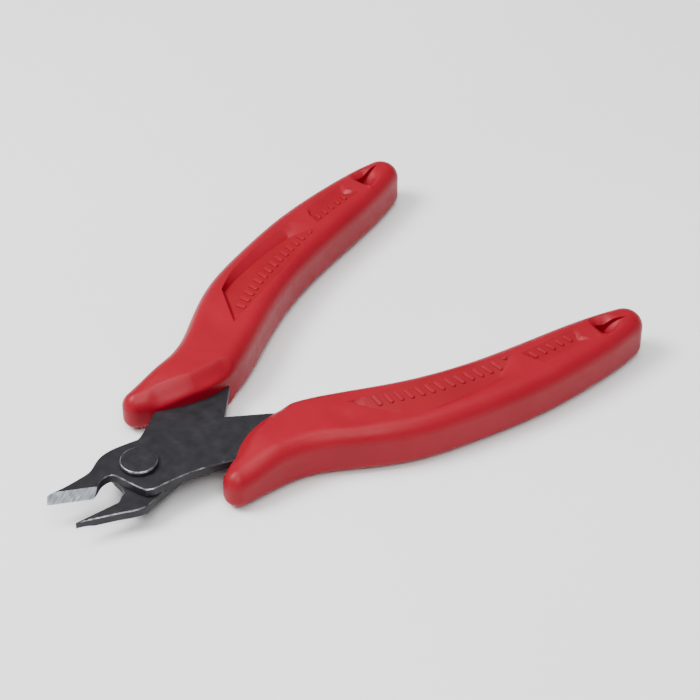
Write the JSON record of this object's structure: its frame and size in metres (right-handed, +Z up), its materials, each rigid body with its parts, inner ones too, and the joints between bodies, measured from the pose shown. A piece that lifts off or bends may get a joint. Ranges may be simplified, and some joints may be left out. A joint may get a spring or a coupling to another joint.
{
  "type": "flush cutter",
  "caption": "Hand-held flush cutter for electronics work: two lapped steel blade levers on a rivet, sprung open, with two moulded plastic grips.",
  "frame": {"origin": "middle of the cutter's footprint, on the surface that it lies on", "axes": "+X from the jaw tips to the handle ends, +Y towards the left handle, +Z up out of the lap plane"},
  "size_m": [0.127, 0.0846, 0.011],
  "materials": {
    "blade_steel": "black oxide",
    "rivet_steel": "black oxide, worn rim",
    "spring_steel": "plain wire",
    "grip_plastic": "satin moulded"
  },
  "bodies": {
    "left_half": {"lower_blade_lever": "blade_steel", "grip_left": "grip_plastic", "pivot_rivet": "rivet_steel", "return_spring": "spring_steel"},
    "right_half": {"upper_blade_lever": "blade_steel", "grip_right": "grip_plastic"}
  },
  "joints": [
    {"name": "handle_pivot", "type": "hinge", "parent": "left_half", "child": "right_half", "pos_m": [-0.044, 0, 0.0055], "axis": [0, 0, 1], "range_deg": [0, 23], "stiffness_Nm_per_rad": 0.6, "springref_deg": -22.92, "deforming": ["return_spring"]}
  ]
}
